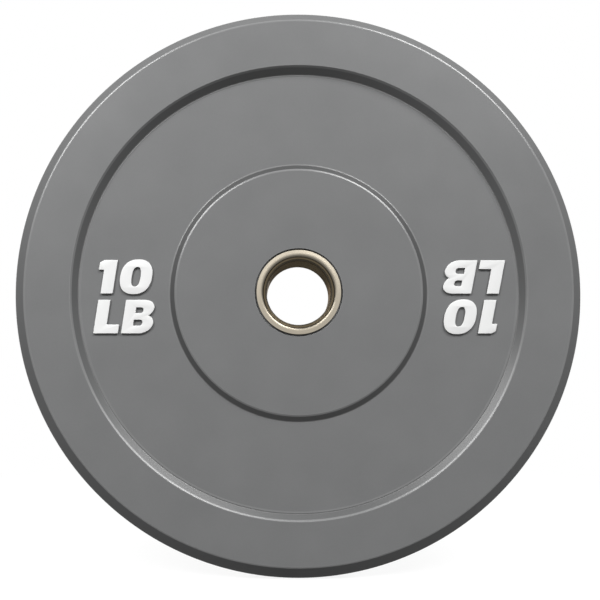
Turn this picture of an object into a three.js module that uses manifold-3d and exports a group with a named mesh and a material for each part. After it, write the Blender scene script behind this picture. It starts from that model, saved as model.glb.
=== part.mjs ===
import * as THREE from "three";
import { mergeVertices } from "three/addons/utils/BufferGeometryUtils.js";
import Module from "manifold-3d";

const wasm = await Module();
wasm.setup();

// A 10 lb bumper plate: a moulded rubber disc with a steel hub keyed into it.
// Millimetres, +Z up. The bore runs along Y, the front face looks towards -Y,
// and the origin is on the bore's axis, halfway through the plate.

// Rubber disc
const plateDiameter = 450;
const rimThickness = 28;
const bevelWidth = 10.7;
const bevelDepth = 8;
const rimFaceWidth = 35.5;
const recessWallWidth = 4.6;
const recessDepth = 4.5;
const padBaseDiameter = 203.4;
const padEdgeWidth = 5;
const padHeight = 3;
const mouldRound = 1.1;
const bevelRound = 2.4;
const seatRound = 0.6;

// Steel hub
const boreDiameter = 50.4;
const sleeveWall = 3;
const sleeveChamfer = 0.7;
const throatStep = 1;
const throatLand = 0.8;
const ledgeWidth = 1.3;
const ledgeDepth = 1.75;
const lipFlare = 1.5;
const lipRound = 0.9;
const flangeOverhang = 2.3;
const flangeThickness = 3;
const flangeRound = 0.6;
const skirtWall = 2.4;
const skirtLength = 6;
const skirtChamfer = 0.6;

// Anchor ring, buried in the rubber
const anchorThickness = 5;
const anchorRingWidth = 8.5;
const lugCount = 12;
const lugNeckWidth = 6;
const lugNeckLength = 6.5;
const lugHeadWidth = 13;
const lugHeadDepth = 4.2;
const lugBarb = 1.6;
const lugRound = 1;

// Clearances
const fitGap = 0.3;
const flangeGroove = 1.1;

// Facets
const facets = 64;
const roundSteps = 2;
const facetStep = (2 * Math.PI) / facets;

// Sizes that follow from the ones above
const plateRadius = plateDiameter / 2;
const halfThickness = rimThickness / 2;
const rimFaceOuter = plateRadius - bevelWidth;
const recessTop = rimFaceOuter - rimFaceWidth;
const recessBottom = recessTop - recessWallWidth;
const padBase = padBaseDiameter / 2;
const padTop = padBase - padEdgeWidth;
const padDepth = recessDepth - padHeight;
const sleeveInner = boreDiameter / 2;
const sleeveOuter = sleeveInner + sleeveWall;
const sleeveHalfLength = halfThickness - flangeThickness - fitGap;
const throatRadius = sleeveInner + throatStep;
const ledgeRadius = throatRadius + ledgeWidth;
const lipRadius = ledgeRadius + lipFlare;
const skirtInner = sleeveOuter + fitGap;
const skirtOuter = skirtInner + skirtWall;
const skirtEnd = flangeThickness + skirtLength;
const flangeRadius = skirtOuter + flangeOverhang;
const anchorRadius = skirtInner + anchorRingWidth;

// Turns a list of corners into a closed outline. A corner is [x, y] when it is
// sharp and [x, y, cut] when a curve starts that far before it and ends that far after it.
function roundedOutline(corners) {
  const path = new THREE.Path();
  const count = corners.length;
  corners.forEach(([x, y, cut = 0], i) => {
    const corner = new THREE.Vector2(x, y);
    const before = new THREE.Vector2(...corners[(i + count - 1) % count]);
    const after = new THREE.Vector2(...corners[(i + 1) % count]);
    const reach = Math.min(
      cut,
      corner.distanceTo(before) / 2,
      corner.distanceTo(after) / 2,
    );
    const start = before.sub(corner).setLength(reach).add(corner);
    const end = after.sub(corner).setLength(reach).add(corner);
    if (i === 0) path.moveTo(start.x, start.y);
    else path.lineTo(start.x, start.y);
    if (reach > 0) path.quadraticCurveTo(x, y, end.x, end.y);
  });
  path.closePath();
  return path.getPoints(roundSteps);
}

// Revolves a closed outline, given as [radius, y] corners, round the bore's axis.
// The facets start half a step round, so the plate stands on a flat and not on an edge.
function revolved(corners) {
  return new THREE.LatheGeometry(roundedOutline(corners), facets, facetStep / 2);
}

function solid(geometry) {
  const bare = geometry.clone();
  bare.deleteAttribute("normal");
  bare.deleteAttribute("uv");
  const merged = mergeVertices(bare);
  return new wasm.Manifold(
    new wasm.Mesh({
      numProp: 3,
      vertProperties: merged.attributes.position.array,
      triVerts: new Uint32Array(merged.index.array),
    }),
  );
}

function geometryOf(body) {
  const mesh = body.getMesh();
  const geometry = new THREE.BufferGeometry();
  geometry.setAttribute("position", new THREE.BufferAttribute(mesh.vertProperties, 3));
  geometry.setIndex(new THREE.BufferAttribute(mesh.triVerts, 1));
  return geometry;
}

function piece(name, geometry, colour, roughness, metalness) {
  const material = new THREE.MeshStandardMaterial({ color: colour, roughness, metalness });
  const mesh = new THREE.Mesh(geometry, material);
  mesh.name = name;
  return mesh;
}

// Anchor ring: a flat steel ring with hooked T-shaped lugs, which the rubber grips.
// grow fattens every side by that much, for the pocket that the rubber leaves round it.
function lugCorners(grow) {
  const neck = lugNeckWidth / 2 + grow;
  const head = lugHeadWidth / 2 + grow;
  const root = Math.sqrt((anchorRadius + grow) ** 2 - neck ** 2);
  const headInner = anchorRadius + lugNeckLength - grow;
  const headOuter = anchorRadius + lugNeckLength + lugHeadDepth + grow;
  const side = [
    [root, neck],
    [headInner, neck, lugRound],
    [headInner - lugBarb, head, lugRound],
    [headOuter, head, lugRound],
  ];
  const mirrored = side.map(([along, across, cut]) => [along, -across, cut]);
  return [...mirrored, ...side.reverse()];
}

function anchorOutline(grow) {
  const lug = lugCorners(grow);
  const ringRadius = anchorRadius + grow;
  const pitch = (2 * Math.PI) / lugCount;
  const rootAngle = Math.atan2(lug.at(-1)[1], lug.at(-1)[0]);
  const ringAngle = pitch - 2 * rootAngle;
  const ringSteps = Math.round(ringAngle / facetStep);
  const corners = [];
  for (let i = 0; i < lugCount; i++) {
    const turn = i * pitch;
    for (const [along, across, cut] of lug) {
      const x = along * Math.cos(turn) - across * Math.sin(turn);
      const y = along * Math.sin(turn) + across * Math.cos(turn);
      corners.push([x, y, cut]);
    }
    for (let k = 1; k < ringSteps; k++) {
      const angle = turn + rootAngle + (ringAngle * k) / ringSteps;
      corners.push([ringRadius * Math.cos(angle), ringRadius * Math.sin(angle)]);
    }
  }
  return roundedOutline(corners);
}

function facetedCircle(radius) {
  const points = [];
  for (let i = 0; i < facets; i++) {
    const angle = (i + 0.5) * facetStep;
    points.push(new THREE.Vector2(radius * Math.cos(angle), radius * Math.sin(angle)));
  }
  return points;
}

// The ring when it is bored for the sleeve, and the space for it when it isn't.
function anchorGeometry(grow, bored) {
  const shape = new THREE.Shape(anchorOutline(grow));
  if (bored) shape.holes.push(new THREE.Path(facetedCircle(skirtInner)));
  const depth = anchorThickness + 2 * grow;
  const geometry = new THREE.ExtrudeGeometry(shape, { depth, bevelEnabled: false });
  geometry.rotateX(-Math.PI / 2);
  geometry.translate(0, -depth / 2, 0);
  return geometry;
}

// Rubber disc: bevelled rim, recessed web and raised pad on both faces, with the hub's seat
// and the anchor's pocket cut into it. Corners run from the hub out to the tread.
function rubberGeometry() {
  const seatRadius = flangeRadius + flangeGroove;
  const seatDepth = flangeThickness + fitGap;
  const half = [
    [skirtInner, skirtEnd + fitGap],
    [skirtOuter + fitGap, skirtEnd + fitGap],
    [skirtOuter + fitGap, seatDepth],
    [seatRadius, seatDepth],
    [seatRadius, padDepth, seatRound],
    [padTop, padDepth, mouldRound],
    [padBase, recessDepth, mouldRound],
    [recessBottom, recessDepth, mouldRound],
    [recessTop, 0, mouldRound],
    [rimFaceOuter, 0, bevelRound],
    [plateRadius, bevelDepth, bevelRound],
  ];
  const front = half.map(([radius, depth, cut]) => [radius, depth - halfThickness, cut]);
  const back = half.map(([radius, depth, cut]) => [radius, halfThickness - depth, cut]);
  const disc = solid(revolved([...front, ...back.reverse()]));
  return geometryOf(disc.subtract(solid(anchorGeometry(fitGap, false))));
}

// Sleeve: the steel tube that slides on the bar.
function sleeveGeometry() {
  return revolved([
    [sleeveInner, -sleeveHalfLength, sleeveChamfer],
    [sleeveOuter, -sleeveHalfLength],
    [sleeveOuter, sleeveHalfLength],
    [sleeveInner, sleeveHalfLength, sleeveChamfer],
  ]);
}

// Collar: a flanged ring pressed over each end of the sleeve. Y runs from its face into the plate,
// and its rounded lip, cone and ledge lead the bar down to the sleeve.
function collarGeometry() {
  return revolved([
    [lipRadius, 0, lipRound],
    [flangeRadius, 0, flangeRound],
    [flangeRadius, flangeThickness],
    [skirtOuter, flangeThickness],
    [skirtOuter, skirtEnd, skirtChamfer],
    [skirtInner, skirtEnd],
    [skirtInner, flangeThickness],
    [throatRadius, flangeThickness],
    [throatRadius, flangeThickness - throatLand],
    [ledgeRadius, ledgeDepth],
  ]);
}

const rubber = piece("rubber_body", rubberGeometry(), 0x7c7d7d, 0.82, 0);
const sleeve = piece("hub_sleeve", sleeveGeometry(), 0x9c8f78, 0.3, 0.9);
const anchor = piece("anchor_ring", anchorGeometry(0, true), 0x6f7072, 0.5, 0.9);
const frontCollar = piece("front_collar", collarGeometry(), 0xd9cfba, 0.3, 0.9);
const backCollar = piece("back_collar", collarGeometry(), 0xd9cfba, 0.3, 0.9);
frontCollar.position.y = -halfThickness;
backCollar.position.y = halfThickness;
backCollar.rotation.z = Math.PI;

const hub = new THREE.Group();
hub.add(sleeve, anchor, frontCollar, backCollar);

const plate = new THREE.Group();
plate.add(rubber, hub);

export default plate;
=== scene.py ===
import math

import bmesh
import bpy
from mathutils import Matrix, Vector


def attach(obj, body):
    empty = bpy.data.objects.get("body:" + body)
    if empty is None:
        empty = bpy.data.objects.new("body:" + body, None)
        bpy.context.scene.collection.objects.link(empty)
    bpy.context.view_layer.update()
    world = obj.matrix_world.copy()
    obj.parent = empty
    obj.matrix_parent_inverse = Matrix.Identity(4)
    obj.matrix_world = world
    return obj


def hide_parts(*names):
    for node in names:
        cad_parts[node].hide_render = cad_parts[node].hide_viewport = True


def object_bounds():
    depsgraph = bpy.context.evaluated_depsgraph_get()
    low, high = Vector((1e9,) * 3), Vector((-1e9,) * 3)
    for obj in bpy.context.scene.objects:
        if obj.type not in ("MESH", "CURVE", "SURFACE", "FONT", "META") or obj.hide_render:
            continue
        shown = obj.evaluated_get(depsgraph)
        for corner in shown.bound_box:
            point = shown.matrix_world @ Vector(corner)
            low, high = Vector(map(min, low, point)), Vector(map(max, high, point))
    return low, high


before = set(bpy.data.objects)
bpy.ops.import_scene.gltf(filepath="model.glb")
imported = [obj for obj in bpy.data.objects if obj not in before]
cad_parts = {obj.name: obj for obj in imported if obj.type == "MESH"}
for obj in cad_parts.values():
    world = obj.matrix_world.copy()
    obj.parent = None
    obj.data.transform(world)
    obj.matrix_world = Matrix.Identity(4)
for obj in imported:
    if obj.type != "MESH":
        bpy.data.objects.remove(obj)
cadLow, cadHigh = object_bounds()
scene = bpy.context.scene
mm = 0.001  # the pieces' sizes are in mm, and Blender's are in metres
print("frame loaded:", sorted(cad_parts))


# Sizes that more than one piece follows
sharedSizes = {
    "plateRadius": 225.0,
    "halfThickness": round(cadHigh[1] / mm, 3),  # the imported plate's own
    "fitGap": 0.3,
    "sleeveOuter": 28.2,
    "skirtOuter": 30.9,
    "skirtEnd": 9.0,
    "flangeRadius": 33.2,
    "flangeThickness": 3.0,
}


# Camera, at the photograph's place: close in front, a little below and left of the bore
cameraSetup = {
    "place": (-0.018, -0.414, -0.080),
    "pitchUp": 0.85,
    "yawRight": 0.15,
    "lens": 30.86,
    "shift": (0.0381, 0.1448),
    "clip": (0.01, 50),
}


def addCamera(setup):
    data = bpy.data.cameras.new("photoCamera")
    data.lens = setup["lens"]
    data.shift_x, data.shift_y = setup["shift"]
    data.clip_start, data.clip_end = setup["clip"]
    camera = bpy.data.objects.new("photoCamera", data)
    camera.location = setup["place"]
    pitch = math.radians(90 + setup["pitchUp"])  # 90 degrees looks level
    camera.rotation_euler = (pitch, 0, -math.radians(setup["yawRight"]))
    scene.collection.objects.link(camera)
    scene.camera = camera


addCamera(cameraSetup)
print("camera placed")


# Mesh helpers
sharpAngle = 38  # degrees; a steeper crease is shaded sharp
largestCut = 0.48  # the most of a side that one rounding may take
edgeOnRounding = 1.0  # the mesh's edge value on a rounding
edgeBeside = 0.25  # and on the extra ring beside it
edgeCounted = 0.3  # the edge value from which a material counts it


def roundedProfile(corners, support=0.35, steps=9):
    # corners are (radius, y, rounding) in mm; the answer is (radius, y, edge). An extra point, at
    # the support distance from each rounding, keeps the flat beside it looking flat
    profile = []
    for i, (radius, y, rounding) in enumerate(corners):
        corner = Vector((radius, y))
        toBefore = Vector(corners[i - 1][:2]) - corner
        toAfter = Vector(corners[(i + 1) % len(corners)][:2]) - corner
        if not rounding:
            profile.append((radius, y, 0.0))
            continue
        half = toBefore.angle(toAfter) / 2
        shorter = min(toBefore.length, toAfter.length)
        cut = min(rounding / math.tan(half), largestCut * shorter)
        rounding = cut * math.tan(half)
        before, after = toBefore.normalized(), toAfter.normalized()
        centre = corner + (before + after).normalized() * (rounding / math.sin(half))
        first = (corner + before * cut - centre).normalized()
        last = (corner + after * cut - centre).normalized()
        if toBefore.length > 2 * (cut + support):
            profile.append((*(corner + before * (cut + support)), edgeBeside))
        for step in range(steps + 1):
            point = centre + first.slerp(last, step / steps) * rounding
            profile.append((*point, edgeOnRounding))
        if toAfter.length > 2 * (cut + support):
            profile.append((*(corner + after * (cut + support)), edgeBeside))
    return profile


def latheMesh(name, profile, segments):
    # revolves the closed profile round the bore, along Y
    mesh = bpy.data.meshes.new(name)
    count = len(profile)
    turns = [2 * math.pi * i / segments for i in range(segments)]
    vertices = [
        (r * math.cos(turn) * mm, y * mm, r * math.sin(turn) * mm)
        for turn in turns
        for r, y, edge in profile
    ]
    faces = []
    for i in range(segments):
        here, there = i * count, (i + 1) % segments * count
        for j in range(count):
            k = (j + 1) % count
            faces.append((here + j, here + k, there + k, there + j))
    mesh.from_pydata(vertices, [], faces)
    edgeLayer = mesh.attributes.new("edge", "FLOAT", "POINT")
    edgeLayer.data.foreach_set("value", [edge for turn in turns for r, y, edge in profile])
    shadeMesh(mesh)
    return mesh


def shadeMesh(mesh):
    # normals outwards, smooth but for the sharp creases
    work = bmesh.new()
    work.from_mesh(mesh)
    bmesh.ops.recalc_face_normals(work, faces=work.faces)
    work.to_mesh(mesh)
    work.free()
    mesh.shade_smooth()
    mesh.set_sharp_from_angle(angle=math.radians(sharpAngle))


def addPiece(name, mesh, materials, replaced=None):
    piece = bpy.data.objects.new(name, mesh)
    scene.collection.objects.link(piece)
    for material in materials:
        mesh.materials.append(material)
    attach(piece, "root")
    if replaced:
        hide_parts(replaced)
    return piece


# Node helpers
def addNode(tree, kind, inputs=None, **settings):
    # inputs go by name or number, and each is a socket to link or a value to set
    node = tree.nodes.new(kind)
    for key, value in settings.items():
        setattr(node, key, value)
    for key, value in (inputs or {}).items():
        if isinstance(value, bpy.types.NodeSocket):
            tree.links.new(value, node.inputs[key])
        else:
            node.inputs[key].default_value = value
    return node


def doMath(tree, operation, *values, clamp=False):
    inputs = dict(enumerate(values))
    node = addNode(tree, "ShaderNodeMath", inputs, operation=operation, use_clamp=clamp)
    return node.outputs[0]


def mixColour(tree, factor, first, second):
    # a Mix node's colours are its inputs 6 and 7, and its output 2
    inputs = {0: factor, 6: first, 7: second}
    return addNode(tree, "ShaderNodeMix", inputs, data_type="RGBA").outputs[2]


def mixValue(tree, factor, first, second):
    return addNode(tree, "ShaderNodeMix", {0: factor, 2: first, 3: second}).outputs[0]


def remap(tree, value, fromLow, fromHigh, toLow=0.0, toHigh=1.0):
    inputs = {0: value, 1: fromLow, 2: fromHigh, 3: toLow, 4: toHigh}
    return addNode(tree, "ShaderNodeMapRange", inputs).outputs[0]


def noise(tree, vector, scale, detail, roughness):
    inputs = {"Vector": vector, "Scale": scale, "Detail": detail, "Roughness": roughness}
    return addNode(tree, "ShaderNodeTexNoise", inputs).outputs[0]


def aroundBore(tree, vector):
    # a point's place along the bore and across it, and its distance from the bore's axis
    parts = addNode(tree, "ShaderNodeSeparateXYZ", {0: vector}).outputs
    flat = addNode(tree, "ShaderNodeCombineXYZ", {"X": parts["X"], "Y": parts["Z"]}).outputs[0]
    radius = addNode(tree, "ShaderNodeVectorMath", {0: flat}, operation="LENGTH").outputs["Value"]
    return parts["Y"], flat, radius


def newGroup(name, inputs, outputs):
    # inputs gives each float socket its value; every group takes a vector as well
    tree = bpy.data.node_groups.new(name, "ShaderNodeTree")
    tree.interface.new_socket(name="Vector", in_out="INPUT", socket_type="NodeSocketVector")
    for socket, value in inputs.items():
        made = tree.interface.new_socket(name=socket, in_out="INPUT", socket_type="NodeSocketFloat")
        made.default_value = value
    for socket in outputs:
        tree.interface.new_socket(name=socket, in_out="OUTPUT", socket_type="NodeSocketFloat")
    taken = tree.nodes.new("NodeGroupInput").outputs
    given = tree.nodes.new("NodeGroupOutput").inputs
    return tree, taken, given


def useGroup(tree, group, inputs):
    return addNode(tree, "ShaderNodeGroup", inputs, node_tree=group).outputs


# Shared surface effects
def makeMouldedGrain():
    # the skin that a mould leaves: soft clouds of tone and a fine, even grain
    tree, taken, given = newGroup(
        "mouldedGrain", {"Cloud Scale": 28.0, "Grain Scale": 900.0}, ["Cloud", "Grain", "Height"]
    )
    cloud = noise(tree, taken["Vector"], taken["Cloud Scale"], detail=2.5, roughness=0.5)
    grain = noise(tree, taken["Vector"], taken["Grain Scale"], detail=3.0, roughness=0.6)
    height = doMath(tree, "MULTIPLY_ADD", cloud, 2.0, grain)  # the clouds stand twice as high
    tree.links.new(remap(tree, cloud, fromLow=0.15, fromHigh=0.85), given["Cloud"])
    tree.links.new(remap(tree, grain, fromLow=0.15, fromHigh=0.85), given["Grain"])
    tree.links.new(height, given["Height"])
    return tree


def makeEdgeRub():
    # where an edge has been rubbed: the mesh's edge value, broken up by a patchy noise
    tree, taken, given = newGroup(
        "edgeRub", {"Edge": 0.0, "Amount": 0.5, "Patch Scale": 60.0}, ["Mask"]
    )
    patch = noise(tree, taken["Vector"], taken["Patch Scale"], detail=3.0, roughness=0.5)
    patch = remap(tree, patch, fromLow=0.35, fromHigh=0.68, toLow=0.6, toHigh=1.0)
    mask = doMath(tree, "MULTIPLY", taken["Edge"], patch)
    mask = doMath(tree, "MULTIPLY", mask, taken["Amount"], clamp=True)
    tree.links.new(mask, given["Mask"])
    return tree


def makeTurnedLines():
    # the fine rings that a lathe tool leaves round the bore, as streaks of limited length
    tree, taken, given = newGroup(
        "turnedLines", {"Lines Per Metre": 2600.0, "Breaks": 2.2}, ["Streak", "Height"]
    )
    along, flat, radius = aroundBore(tree, taken["Vector"])
    around = addNode(tree, "ShaderNodeVectorMath", {0: flat}, operation="NORMALIZE").outputs[0]
    spread = {0: around, "Scale": taken["Breaks"]}
    around = addNode(tree, "ShaderNodeVectorMath", spread, operation="SCALE").outputs[0]
    turn = addNode(tree, "ShaderNodeSeparateXYZ", {0: around}).outputs
    across = doMath(tree, "ADD", radius, along)
    across = doMath(tree, "MULTIPLY", across, taken["Lines Per Metre"])
    wound = {"X": turn["X"], "Y": turn["Y"], "Z": across}
    wound = addNode(tree, "ShaderNodeCombineXYZ", wound).outputs[0]
    lines = noise(tree, wound, scale=1.0, detail=2.0, roughness=0.55)
    tree.links.new(remap(tree, lines, fromLow=0.28, fromHigh=0.72), given["Streak"])
    tree.links.new(lines, given["Height"])
    return tree


def makeRingBand():
    # 1 between two radii round the bore and 0 elsewhere, fading over Softness on both sides of each
    tree, taken, given = newGroup(
        "ringBand", {"Inner": 0.0, "Outer": 1.0, "Softness": 0.0003}, ["Mask"]
    )
    _, _, radius = aroundBore(tree, taken["Vector"])
    beyondInner = doMath(tree, "SUBTRACT", radius, taken["Inner"])
    beyondInner = doMath(tree, "DIVIDE", beyondInner, taken["Softness"])
    beforeOuter = doMath(tree, "SUBTRACT", taken["Outer"], radius)
    beforeOuter = doMath(tree, "DIVIDE", beforeOuter, taken["Softness"])
    nearest = doMath(tree, "MINIMUM", beyondInner, beforeOuter)
    tree.links.new(remap(tree, nearest, fromLow=-1, fromHigh=1), given["Mask"])
    return tree


mouldedGrain = makeMouldedGrain()
edgeRub = makeEdgeRub()
turnedLines = makeTurnedLines()
ringBand = makeRingBand()
print("shared surface effects made")


# Material helpers. A look holds a material's tones, its scales in cycles a metre, its roughness
# and how far that spreads to each side, its relief, and what is the same all over the surface
def newMaterial(name, look):
    material = bpy.data.materials.new(name)
    material.use_nodes = True
    tree = material.node_tree
    shader = tree.nodes["Principled BSDF"]
    shader.inputs["Roughness"].default_value = look["roughness"]
    for socket, value in look["shader"].items():
        shader.inputs[socket].default_value = value
    place = addNode(tree, "ShaderNodeTexCoord").outputs["Object"]
    return material, tree, shader, place


def finishSurface(tree, shader, look, colour, rough, height):
    relief = {"Strength": look["bumpStrength"], "Distance": look["bumpDistance"], "Height": height}
    bump = addNode(tree, "ShaderNodeBump", relief).outputs[0]
    tree.links.new(colour, shader.inputs["Base Color"])
    tree.links.new(rough, shader.inputs["Roughness"])
    tree.links.new(bump, shader.inputs["Normal"])


def spreadRoughness(tree, mask, look):
    # a spread below zero makes the surface smoother where the mask is high
    middle, spread = look["roughness"], look["roughnessSpread"]
    return remap(tree, mask, 0, 1, middle - spread, middle + spread)


def grainedFace(tree, place, look):
    # colour, roughness and height of a face with clouds and grain; roughBy names the one of the
    # two that spreads the roughness
    scales = {"Cloud Scale": look["cloudScale"], "Grain Scale": look["grainScale"]}
    skin = useGroup(tree, mouldedGrain, {"Vector": place, **scales})
    tone = mixValue(tree, look["grainShare"], skin["Cloud"], skin["Grain"])
    colour = mixColour(tree, tone, look["dark"], look["light"])
    return colour, spreadRoughness(tree, skin[look["roughBy"]], look), skin["Height"]


def turnedFace(tree, place, look):
    # colour, roughness and height of a face that was turned on a lathe
    tooling = {"Lines Per Metre": look["linesPerMetre"], "Breaks": look["lineBreaks"]}
    lines = useGroup(tree, turnedLines, {"Vector": place, **tooling})
    clouding = {"Vector": place, "Cloud Scale": look["cloudScale"]}
    cloud = useGroup(tree, mouldedGrain, clouding)["Cloud"]
    tone = mixValue(tree, look["cloudShare"], lines["Streak"], cloud)
    colour = mixColour(tree, tone, look["dark"], look["light"])
    return colour, spreadRoughness(tree, lines["Streak"], look), lines["Height"]


def edgeMask(tree):
    # 1 on the mesh's roundings and 0 on its flats
    edge = addNode(tree, "ShaderNodeAttribute", attribute_name="edge").outputs["Fac"]
    return remap(tree, edge, edgeCounted, edgeOnRounding)


def ringMask(tree, place, ring):
    # ring holds the band's Inner, Outer and Softness in mm, or those that it needs
    sizes = {socket: size * mm for socket, size in ring.items()}
    return useGroup(tree, ringBand, {"Vector": place, **sizes})["Mask"]


# Rubber disc
rubberSizes = {
    "seatGap": 1.1,
    "padDepth": 1.5,
    "padBaseRadius": 101.7,
    "padEdgeWidth": 5.0,
    "webDepth": 4.5,
    "recessWallWidth": 4.95,
    "rimFaceWidth": 35.5,
    "bevelWidth": 10.7,
    "bevelDepth": 8.0,
    "beadWidth": 1.0,
    "beadHeight": 0.16,
    "creaseWidth": 0.9,
    "creaseDepth": 0.12,
    "partingHeight": 0.18,
    "partingHalfWidth": 0.6,
    "pocketClearance": 0.45,
    "pocketWeld": 0.001,
    "segments": 360,
}
# a narrow, gently sloping land softens each raised edge: how far it reaches on to the flat,
# how far over the slope, and how far down
rubberLands = {
    "pad": (0.65, 0.48, 0.36),
    "rimInner": (0.0, 1.0, 0.80),
    "rimOuter": (0.65, 0.45, 0.21),
}
rubberRounding = {
    "seat": 0.6,
    "land": 0.8,
    "pad": 1.6,
    "padFoot": 2.0,
    "bead": 0.8,
    "webFoot": 0.3,
    "rimInner": 0.7,
    "rimOuter": 1.6,
    "tread": 2.6,
    "parting": 0.4,
}
rubberLook = {
    "dark": (0.149, 0.151, 0.152, 1),
    "light": (0.180, 0.182, 0.183, 1),
    "rubbed": (0.25, 0.25, 0.25, 1),
    "rubAmount": 0.4,
    "cloudScale": 28.0,
    "grainScale": 900.0,
    "grainShare": 0.35,
    "roughness": 0.287,
    "roughnessSpread": 0.010,
    "roughBy": "Cloud",
    "bumpStrength": 0.07,
    "bumpDistance": 0.00005,
    "shader": {"Specular IOR Level": 0.37},
}
# painted shade: the slopes are made darker than the flat faces, and keep is the share of the colour
# that is left. The bevel's ring takes in the tread, which has the same colour and is duller
paintedSlopeShadeAndRoughness = {
    "padEdge": {"ring": {"Inner": 97.4, "Outer": 101.6}, "keep": 0.32, "roughness": 0.28},
    "recessWall": {"ring": {"Inner": 173.6, "Outer": 177.6}, "keep": 0.525, "roughness": 0.31},
    "bevel": {"ring": {"Inner": 214.9}, "keep": 0.57, "roughness": 0.66},
    "tread": {"ring": {"Inner": 224.5}, "keep": 1.0, "roughness": 0.85},
}


def rubberProfile(size, land, rounding, shared):
    # corners run from the bore to the tread, at depths below the face, and then back on the other
    # side. A low bead and a crease run round the foot of the recess wall
    halfThickness, gap, plate = shared["halfThickness"], shared["fitGap"], shared["plateRadius"]
    skirtInner = shared["sleeveOuter"] + gap
    skirtOuter = shared["skirtOuter"] + gap
    skirtDepth = shared["skirtEnd"] + gap
    seatRadius = shared["flangeRadius"] + size["seatGap"]
    seatDepth = shared["flangeThickness"] + gap
    padBase = size["padBaseRadius"]
    padTop = padBase - size["padEdgeWidth"]
    rimOuter = plate - size["bevelWidth"]
    rimInner = rimOuter - size["rimFaceWidth"]
    webEdge = rimInner - size["recessWallWidth"]
    crease = webEdge - size["creaseWidth"]
    padIn, padOut, padDown = land["pad"]
    wallOut, wallIn, wallDown = land["rimInner"]
    rimIn, rimOut, rimDown = land["rimOuter"]
    corners = [
        (skirtInner, skirtDepth, 0),
        (skirtOuter, skirtDepth, 0),
        (skirtOuter, seatDepth, 0),
        (seatRadius, seatDepth, 0),
        (seatRadius, size["padDepth"], rounding["seat"]),
        (padTop - padIn, size["padDepth"], rounding["land"]),
        (padTop + padOut, size["padDepth"] + padDown, rounding["pad"]),
        (padBase, size["webDepth"], rounding["padFoot"]),
        (crease - size["beadWidth"], size["webDepth"], rounding["bead"]),
        (crease, size["webDepth"] - size["beadHeight"], rounding["bead"]),
        (webEdge, size["webDepth"] + size["creaseDepth"], rounding["webFoot"]),
        (rimInner - wallIn, wallDown, rounding["rimInner"]),
        (rimInner + wallOut, 0, rounding["land"]),
        (rimOuter - rimIn, 0, rounding["land"]),
        (rimOuter + rimOut, rimDown, rounding["rimOuter"]),
        (plate, size["bevelDepth"], rounding["tread"]),
        (plate, halfThickness - size["partingHalfWidth"], 0),
    ]
    front = [(radius, depth - halfThickness, r) for radius, depth, r in corners]
    back = [(radius, halfThickness - depth, r) for radius, depth, r in reversed(corners)]
    ridge = (plate + size["partingHeight"], 0, rounding["parting"])
    return roundedProfile([*front, ridge, *back])


def anchorPocket(size):
    # the anchor ring, swollen a little, as the tool that cuts its pocket in the rubber
    pocket = bpy.data.meshes.new("anchorPocket")
    clearance = size["pocketClearance"] * mm
    work = bmesh.new()
    work.from_mesh(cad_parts["anchor_ring"].data)
    bmesh.ops.remove_doubles(work, verts=work.verts, dist=size["pocketWeld"] * mm)
    work.normal_update()
    moves = [v.normal * clearance * v.calc_shell_factor() for v in work.verts]
    for vertex, move in zip(work.verts, moves):
        vertex.co += move
    work.to_mesh(pocket)
    work.free()
    return bpy.data.objects.new("anchorPocket", pocket)


def cutWith(piece, tool):
    scene.collection.objects.link(tool)
    cut = piece.modifiers.new("pocket", "BOOLEAN")
    cut.operation, cut.solver, cut.object = "DIFFERENCE", "EXACT", tool
    shaped = piece.evaluated_get(bpy.context.evaluated_depsgraph_get())
    mesh = bpy.data.meshes.new_from_object(shaped)
    piece.modifiers.remove(cut)
    piece.data = mesh
    bpy.data.objects.remove(tool)


def makeRubber(look, slopes):
    material, tree, shader, place = newMaterial("greyRubber", look)
    colour, rough, height = grainedFace(tree, place, look)
    for slope in slopes.values():
        band = ringMask(tree, place, slope["ring"])
        # painted shade on the slope's band, mixed towards black
        darker = doMath(tree, "MULTIPLY", band, 1 - slope["keep"])
        colour = mixColour(tree, darker, colour, (0, 0, 0, 1))
        rough = mixValue(tree, band, rough, slope["roughness"])
    worn = {"Vector": place, "Edge": edgeMask(tree), "Amount": look["rubAmount"]}
    rub = useGroup(tree, edgeRub, worn)["Mask"]
    colour = mixColour(tree, rub, colour, look["rubbed"])
    finishSurface(tree, shader, look, colour, rough, height)
    return material


greyRubber = makeRubber(rubberLook, paintedSlopeShadeAndRoughness)
rubberOutline = rubberProfile(rubberSizes, rubberLands, rubberRounding, sharedSizes)
rubberDisc = addPiece(
    "rubberDisc",
    latheMesh("rubberDisc", rubberOutline, rubberSizes["segments"]),
    [greyRubber],
    "rubber_body",
)
cutWith(rubberDisc, anchorPocket(rubberSizes))
print("rubber disc:", len(rubberDisc.data.polygons), "faces")


# Sleeve: the bored tube through the middle of the hub
sleeveSizes = {
    "innerRadius": 25.2,
    "chamfer": 0.7,
    "outerRound": 0.2,
    "segments": 256,
}
sleeveLook = {
    # dark, light and chamfer are painted shade: far darker than the collars' face, for the shade
    # inside the bore
    "dark": (0.130, 0.118, 0.094, 1),
    "light": (0.225, 0.207, 0.170, 1),
    "chamfer": (0.045, 0.038, 0.027, 1),
    "linesPerMetre": 1800.0,
    "lineBreaks": 1.6,
    "cloudScale": 60.0,
    "cloudShare": 0.5,
    "roughness": 0.42,
    "roughnessSpread": -0.06,
    "bumpStrength": 0.4,
    "bumpDistance": 0.00002,
    "shader": {"Metallic": 1.0, "Specular Tint": (0.15, 0.13, 0.10, 1)},
}


def sleeveProfile(size, shared):
    inner, outer = size["innerRadius"], shared["sleeveOuter"]
    end = shared["halfThickness"] - shared["flangeThickness"] - shared["fitGap"]
    corners = [
        (inner, -end, size["chamfer"]),
        (outer, -end, size["outerRound"]),
        (outer, end, size["outerRound"]),
        (inner, end, size["chamfer"]),
    ]
    return roundedProfile(corners)


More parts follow.
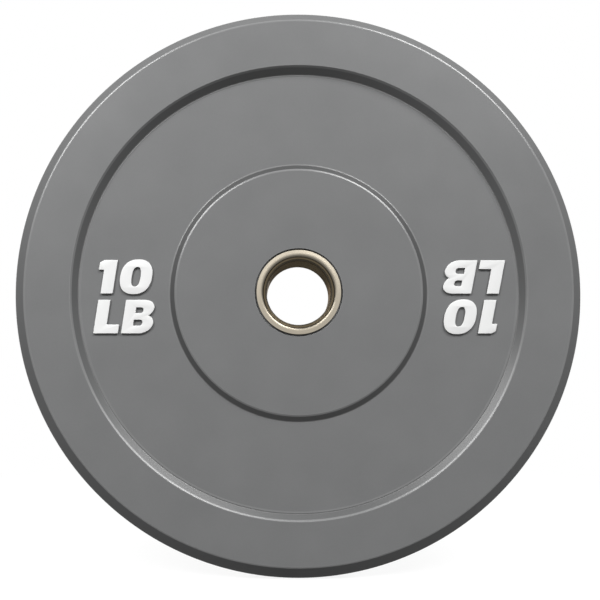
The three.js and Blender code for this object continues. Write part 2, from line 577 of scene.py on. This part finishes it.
def makeSleeveSteel(look):
    # a turned wall in painted shade, darker than the collars, with chamfers darker still as painted
    # shade at its ends
    material, tree, shader, place = newMaterial("boredSteel", look)
    wall, rough, height = turnedFace(tree, place, look)
    colour = mixColour(tree, edgeMask(tree), wall, look["chamfer"])
    finishSurface(tree, shader, look, colour, rough, height)
    return material


addPiece(
    "hubSleeve",
    latheMesh("hubSleeve", sleeveProfile(sleeveSizes, sharedSizes), sleeveSizes["segments"]),
    [makeSleeveSteel(sleeveLook)],
    "hub_sleeve",
)
print("sleeve made")


# Collars: a flanged ring pressed over each end of the sleeve
collarSizes = {
    "lipRadius": 29.9,
    "lipRound": 2.4,
    "coneRadius": 28.5,
    "coneDepth": 0.6,
    "coneRound": 1.2,
    "flangeEdgeDepth": 0.55,
    "flangeRound": 0.15,
    "flangeBackRound": 0.2,
    "ledgeRadius": 27.5,
    "ledgeDepth": 2.0,
    "ledgeRound": 0.3,
    "throatRadius": 26.2,
    "throatDepth": 2.2,
    "throatRound": 0.2,
    "skirtRound": 0.5,
    "segments": 256,
}
collarLook = {
    "dark": (0.355, 0.315, 0.25, 1),
    "light": (0.47, 0.425, 0.345, 1),
    # rim is painted shade: a dark band round the flange's outer edge
    "rim": (0.050, 0.046, 0.038, 1),
    # lip, throat and ledge are painted shade down into the bore, the ledge less dark than the
    # throat
    "lip": (0.158, 0.142, 0.115, 1),
    "throat": (0.050, 0.040, 0.026, 1),
    "ledge": (0.115, 0.092, 0.058, 1),
    "linesPerMetre": 2600.0,
    "lineBreaks": 2.2,
    "cloudScale": 90.0,
    "cloudShare": 0.35,
    "roughness": 0.37,
    "roughnessSpread": -0.05,
    "lipRoughness": 0.34,
    "bumpStrength": 0.15,
    "bumpDistance": 0.00002,
    "shader": {"Metallic": 1.0},
}
collarRings = {
    # where the painted shade round the flange's outer edge lies
    "rim": {"Inner": 33.0, "Softness": 0.12},
    # where the bore's painted shade lies: on the lip, down the throat and on the ledge
    "lip": {"Outer": 29.35, "Softness": 0.45},
    "throat": {"Outer": 27.9, "Softness": 0.5},
    "ledge": {"Inner": 26.5, "Outer": 27.45},
}


def collarProfile(size, shared, side):
    # corners are at depths below the face, and side is 1 for the front collar and -1 for the back.
    # The face falls away a little from its lip, and a narrow ledge runs round the throat
    flange, thickness = shared["flangeRadius"], shared["flangeThickness"]
    skirtInner = shared["sleeveOuter"] + shared["fitGap"]
    skirtOuter, skirtEnd = shared["skirtOuter"], shared["skirtEnd"]
    corners = [
        (size["coneRadius"], size["coneDepth"], size["coneRound"]),
        (size["lipRadius"], 0, size["lipRound"]),
        (flange, size["flangeEdgeDepth"], size["flangeRound"]),
        (flange, thickness, size["flangeBackRound"]),
        (skirtOuter, thickness, 0),
        (skirtOuter, skirtEnd, size["skirtRound"]),
        (skirtInner, skirtEnd, 0),
        (skirtInner, thickness, 0),
        (size["throatRadius"], thickness, size["throatRound"]),
        (size["throatRadius"], size["throatDepth"], size["throatRound"]),
        (size["ledgeRadius"], size["ledgeDepth"], size["ledgeRound"]),
    ]
    placed = [(radius, depth - shared["halfThickness"], r) for radius, depth, r in corners]
    return [(radius, y * side, edge) for radius, y, edge in roundedProfile(placed)]


def makeCollarSteel(look, rings):
    # bright where the face was turned, with painted shade round its rim, on the lip and down the
    # throat
    material, tree, shader, place = newMaterial("platedSteel", look)
    face, rough, height = turnedFace(tree, place, look)
    mask = {name: ringMask(tree, place, ring) for name, ring in rings.items()}
    # painted shade round the flange's outer edge
    face = mixColour(tree, mask["rim"], face, look["rim"])
    # painted shade on the lip, down the throat and on the ledge
    paintedBoreShade = mixColour(tree, mask["throat"], look["lip"], look["throat"])
    paintedBoreShade = mixColour(tree, mask["ledge"], paintedBoreShade, look["ledge"])
    colour = mixColour(tree, mask["lip"], face, paintedBoreShade)
    rough = mixValue(tree, mask["lip"], rough, look["lipRoughness"])
    finishSurface(tree, shader, look, colour, rough, height)
    return material


collarSteel = makeCollarSteel(collarLook, collarRings)
for name, node, side in (("frontCollar", "front_collar", 1), ("backCollar", "back_collar", -1)):
    profile = collarProfile(collarSizes, sharedSizes, side)
    mesh = latheMesh(name, profile, collarSizes["segments"])
    addPiece(name, mesh, [collarSteel], node)
print("collars made")


# Anchor ring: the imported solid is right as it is, so it only gets its steel
anchorLook = {
    "dark": (0.30, 0.30, 0.31, 1),
    "light": (0.44, 0.44, 0.45, 1),
    "cloudScale": 70.0,
    "grainScale": 1200.0,
    "grainShare": 0.4,
    "roughness": 0.5,
    "roughnessSpread": 0.08,
    "roughBy": "Grain",
    "bumpStrength": 0.4,
    "bumpDistance": 0.00005,
    "shader": {"Metallic": 1.0},
}


def makeGrained(name, look):
    # a material that is clouds and grain all over
    material, tree, shader, place = newMaterial(name, look)
    finishSurface(tree, shader, look, *grainedFace(tree, place, look))
    return material


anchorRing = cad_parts["anchor_ring"]
anchorRing.data.materials.clear()
anchorRing.data.materials.append(makeGrained("laserCutSteel", anchorLook))
print("anchor ring finished")


# Weight marks: a plain 10 over LB, in heavy leaning characters, raised from the web and painted
markSizes = {
    "centre": (-137.3, -3.2),
    "rise": 1.3,
    "sink": 0.4,
    "leanLeft": 0.150,
    "leanRight": 0.195,
    "capHeight": 26.6,
    "rowGap": 4.8,
    "left": -19.8,
    "stem": 9.6,
    "cornerRound": 0.5,
    "holeRound": 0.4,
    "edgeRound": 0.35,
    "edgeSteps": 3,
    "weld": 0.004,
    "paintedFrom": 0.45,  # how squarely a face looks outwards to be painted
    "flatFrom": 0.999,  # and to be shaded flat
}
# the characters' own sizes; left, right and middle are measured from the middle of the mark, and
# waist is the angle in degrees at which one bowl of the B meets the other
figureOne = {
    "inset": 0.9,
    "flagReach": 3.3,
    "flagTopReach": 3.2,
    "flagTopDrop": 1.9,
    "flagDepth": 7.8,
}
figureZero = {
    "middle": 7.1,
    "halfWidth": 12.6,
    "overshoot": 0.5,
    "squareness": 2.35,
    "holeHalfWidth": 3.4,
    "holeHalfHeight": 7.6,
    "holeSquareness": 2.6,
}
letterL = {
    "right": -0.4,
    "foot": 7.1,
}
letterB = {
    "left": 2.0,
    "lowBowl": {"middle": 15.5, "halfWidth": 10.6, "above": 7.0, "below": 8.5, "waist": 55.5},
    "highBowl": {"middle": 17.0, "halfWidth": 8.2, "above": 6.0, "below": 7.9, "waist": -56.7},
    "lowHole": {"left": 10.6, "right": 17.5, "height": 4.5, "fromEdge": 6.3, "round": 2.1},
    "highHole": {"left": 11.0, "right": 16.9, "height": 4.3, "fromEdge": 6.1, "round": 2.0},
}
paintLook = {
    "dark": (0.78, 0.785, 0.78, 1),
    "light": (0.83, 0.83, 0.825, 1),
    "cloudScale": 55.0,
    "grainScale": 1400.0,
    "grainShare": 0.3,
    "roughness": 0.43,
    "roughnessSpread": 0.06,
    "roughBy": "Cloud",
    "bumpStrength": 0.15,
    "bumpDistance": 0.00006,
    "shader": {"Specular IOR Level": 0.4},
}


def roundedOutline(corners, rounding, steps=5):
    # corners are (x, y) or (x, y, own rounding); the answer is a closed line with arcs at them
    triples = [(*c, rounding) if len(c) == 2 else c for c in corners]
    return [(x, y) for x, y, edge in roundedProfile(triples, support=math.inf, steps=steps)]


def ovalArc(centre, halfWidth, halfHeight, fromDegrees, toDegrees, power=2.0, steps=14):
    # a stretch of a superellipse; a power above 2 makes it squarer
    points = []
    for i in range(steps + 1):
        a = math.radians(fromDegrees + (toDegrees - fromDegrees) * i / steps)
        c, s = math.cos(a), math.sin(a)
        x = math.copysign(abs(c) ** (2 / power), c) * halfWidth
        y = math.copysign(abs(s) ** (2 / power), s) * halfHeight
        points.append((centre[0] + x, centre[1] + y, 0))
    return points


def oval(centre, halfWidth, halfHeight, power, steps=60):
    points = ovalArc(centre, halfWidth, halfHeight, 0, 360, power, steps)
    return [(x, y) for x, y, rounding in points[:-1]]


def oneOutline(size, one, low, high):
    left = size["left"]
    stemLeft = left + one["inset"]
    stemRight = stemLeft + size["stem"]
    corners = [
        (stemLeft, low),
        (stemRight, low),
        (stemRight, high),
        (left, high),
        (left - one["flagTopReach"], high - one["flagTopDrop"]),
        (left - one["flagReach"], high - one["flagDepth"]),
        (stemLeft, high - one["flagDepth"]),
    ]
    return roundedOutline(corners, size["cornerRound"])


def zeroOutlines(zero, low, high):
    centre = (zero["middle"], (low + high) / 2)
    halfHeight = (high - low) / 2 + zero["overshoot"]
    return [
        oval(centre, zero["halfWidth"], halfHeight, zero["squareness"]),
        oval(centre, zero["holeHalfWidth"], zero["holeHalfHeight"], zero["holeSquareness"]),
    ]


def letterLOutline(size, letter, low, high):
    left, right = size["left"], letter["right"]
    foot = low + letter["foot"]
    stem = left + size["stem"]
    corners = [(left, low), (right, low), (right, foot), (stem, foot), (stem, high), (left, high)]
    return roundedOutline(corners, size["cornerRound"])


def letterBOutlines(size, letter, low, high):
    # two bowls that meet at the waist, and a hole in each
    left, lower, upper = letter["left"], letter["lowBowl"], letter["highBowl"]
    lowerCentre = (lower["middle"], low + lower["below"])
    upperCentre = (upper["middle"], high - upper["above"])
    corners = [
        (left, low),
        *ovalArc(lowerCentre, lower["halfWidth"], lower["below"], -90, 0),
        *ovalArc(lowerCentre, lower["halfWidth"], lower["above"], 0, lower["waist"])[1:],
        *ovalArc(upperCentre, upper["halfWidth"], upper["below"], upper["waist"], 0)[1:],
        *ovalArc(upperCentre, upper["halfWidth"], upper["above"], 0, 90)[1:],
        (left, high),
    ]
    lowHole, highHole = letter["lowHole"], letter["highHole"]
    highHoleFoot = high - highHole["fromEdge"] - highHole["height"]
    return [
        roundedOutline(corners, size["cornerRound"]),
        holeOutline(highHole, highHoleFoot, size["holeRound"]),
        holeOutline(lowHole, low + lowHole["fromEdge"], size["holeRound"]),
    ]


def holeOutline(hole, low, rounding):
    # its right corners have a rounding of their own
    left, right, high, own = hole["left"], hole["right"], low + hole["height"], hole["round"]
    corners = [(left, low), (right, low, own), (right, high, own), (left, high)]
    return roundedOutline(corners, rounding)


def markOutlines(size):
    # upright characters, measured from the middle of the mark; the lean is added afterwards
    near = size["rowGap"] / 2
    far = near + size["capHeight"]
    return [
        oneOutline(size, figureOne, near, far),
        *zeroOutlines(figureZero, near, far),
        letterLOutline(size, letterL, -far, -near),
        *letterBOutlines(size, letterB, -far, -near),
    ]


def markCurve(name, size, lean):
    curve = bpy.data.curves.new(name, "CURVE")
    curve.dimensions, curve.fill_mode = "2D", "BOTH"
    for outline in markOutlines(size):
        spline = curve.splines.new("POLY")
        spline.points.add(len(outline) - 1)
        for point, (x, y) in zip(spline.points, outline):
            point.co = (x + y * lean, y, 0, 1)
        spline.use_cyclic_u = True
    curve.extrude = (size["rise"] + size["sink"]) / 2 - size["edgeRound"]
    curve.bevel_depth, curve.offset = size["edgeRound"], -size["edgeRound"]
    curve.bevel_resolution = size["edgeSteps"]
    return curve


def markMesh(name, size, flip, side):
    # side 1 is the front face; flip turns the mark half round, as on the plate's right
    curve = markCurve(name, size, size["leanRight" if flip else "leanLeft"])
    holder = bpy.data.objects.new(name, curve)
    scene.collection.objects.link(holder)
    shaped = holder.evaluated_get(bpy.context.evaluated_depsgraph_get())
    mesh = bpy.data.meshes.new_from_object(shaped)
    bpy.data.objects.remove(holder)
    work = bmesh.new()
    work.from_mesh(mesh)
    bmesh.ops.remove_doubles(work, verts=work.verts, dist=size["weld"])
    turn = -1 if flip else 1
    web = sharedSizes["halfThickness"] - rubberSizes["webDepth"]
    middle = web + (size["rise"] - size["sink"]) / 2
    centreX, centreZ = size["centre"]
    for vertex in work.verts:
        x, y, z = vertex.co
        across = (centreX + x) * turn
        up = centreZ + y * turn
        vertex.co = (across * side * mm, -(middle + z) * side * mm, up * mm)
    work.normal_update()
    bmesh.ops.recalc_face_normals(work, faces=work.faces)
    for face in work.faces:
        outward = -face.normal.y * side
        face.material_index = 1 if outward > size["paintedFrom"] else 0
        face.smooth = outward < size["flatFrom"]
    work.to_mesh(mesh)
    work.free()
    mesh.set_sharp_from_angle(angle=math.radians(sharpAngle))
    return mesh


whitePaint = makeGrained("whitePaint", paintLook)
for side, face in ((1, "front"), (-1, "back")):
    for flip, place in ((False, "Left"), (True, "Right")):
        name = face + "Mark" + place
        addPiece(name, markMesh(name, markSizes, flip, side), [greyRubber, whitePaint])
print("weight marks made")


# Floor and light
floorSetup = {
    "drop": 0.02,  # mm below the plate's lowest point; the other lengths are in metres
    "half": 8.0,
    "fadeFrom": 0.25,
    "fadeTo": 0.75,
    "shadowShare": 0.12,
    "bounce": 0.10,
}
# toward is the direction from the bore, and extent is the width and height
lampSetup = {
    "frontLeft": {
        "toward": (-0.526, -0.533, 0.662),
        "distance": 1.8,
        "watts": 28.6,
        "extent": (1.15, 0.43),
    },
    "frontRight": {
        "toward": (0.426, -0.493, 0.758),
        "distance": 3.0,
        "watts": 94.5,
        "extent": (1.75, 1.05),
    },
    "backLeft": {
        "toward": (-0.35, 0.866, 0.35),
        "distance": 2.0,
        "watts": 22.0,
        "extent": (1.2, 1.2),
    },
    "backRight": {
        "toward": (0.35, 0.866, 0.35),
        "distance": 2.0,
        "watts": 22.0,
        "extent": (1.2, 1.2),
    },
}
ambient = 0.134


def seenDirectly(tree):
    # 1 for camera, glossy and transmission rays
    light = addNode(tree, "ShaderNodeLightPath").outputs
    seen = doMath(tree, "MAXIMUM", light["Is Camera Ray"], light["Is Glossy Ray"])
    return doMath(tree, "MAXIMUM", seen, light["Is Transmission Ray"])


def makeFloorMaterial(setup):
    # white that keeps a soft shadow near the plate, and can be seen through from below
    material = bpy.data.materials.new("paleFloor")
    material.use_nodes = True
    tree = material.node_tree
    tree.nodes.clear()
    geometry = addNode(tree, "ShaderNodeNewGeometry").outputs
    fromBore = addNode(tree, "ShaderNodeVectorMath", {0: geometry["Position"]}, operation="LENGTH")
    far = remap(tree, fromBore.outputs["Value"], setup["fadeFrom"], setup["fadeTo"])
    seen = seenDirectly(tree)
    share = setup["shadowShare"]
    shade = doMath(tree, "MULTIPLY", seen, share)
    near = addNode(tree, "ShaderNodeBsdfDiffuse", {"Color": shade}).outputs[0]
    glow = mixValue(tree, seen, setup["bounce"], 1 - share)
    glow = addNode(tree, "ShaderNodeEmission", {"Strength": glow}).outputs[0]
    near = addNode(tree, "ShaderNodeAddShader", {0: near, 1: glow}).outputs[0]
    white = addNode(tree, "ShaderNodeEmission", {"Strength": 1.0}).outputs[0]
    far = doMath(tree, "MULTIPLY", far, seen)
    top = addNode(tree, "ShaderNodeMixShader", {0: far, 1: near, 2: white}).outputs[0]
    under = addNode(tree, "ShaderNodeBsdfTransparent").outputs[0]
    sides = {0: geometry["Backfacing"], 1: top, 2: under}
    shown = addNode(tree, "ShaderNodeMixShader", sides).outputs[0]
    addNode(tree, "ShaderNodeOutputMaterial", {"Surface": shown})
    return material


def addFloor(setup):
    half = setup["half"]
    lowest = sharedSizes["plateRadius"] + rubberSizes["partingHeight"]
    height = -(lowest + setup["drop"]) * mm
    mesh = bpy.data.meshes.new("floor")
    square = ((-half, -half), (half, -half), (half, half), (-half, half))
    mesh.from_pydata([(x, y, height) for x, y in square], [], [(0, 1, 2, 3)])
    mesh.materials.append(makeFloorMaterial(setup))
    floor = bpy.data.objects.new("floor", mesh)
    scene.collection.objects.link(floor)


def addLamps(lamps):
    # each lamp faces the bore, with its width running round the bore's axis
    for name, setup in lamps.items():
        data = bpy.data.lights.new(name, "AREA")
        data.shape, data.energy = "ELLIPSE", setup["watts"]
        data.size, data.size_y = setup["extent"]
        lamp = bpy.data.objects.new(name, data)
        outward = Vector(setup["toward"]).normalized()
        across = outward.cross(Vector((0, 1, 0))).normalized()
        facing = Matrix((across, outward.cross(across), outward)).transposed()
        lamp.location = outward * setup["distance"]
        lamp.rotation_euler = facing.to_euler()
        lamp.visible_camera = False
        scene.collection.objects.link(lamp)


def setWorld(strength):
    # white where it is seen, and a low even light on everything else
    world = bpy.data.worlds.new("studio")
    scene.world = world
    world.use_nodes = True
    tree = world.node_tree
    level = mixValue(tree, seenDirectly(tree), strength, 1.0)
    background = tree.nodes["Background"]
    background.inputs["Color"].default_value = (1, 1, 1, 1)
    tree.links.new(level, background.inputs["Strength"])


addFloor(floorSetup)
addLamps(lampSetup)
setWorld(ambient)
scene.view_settings.view_transform = "Standard"
print("floor and light made")
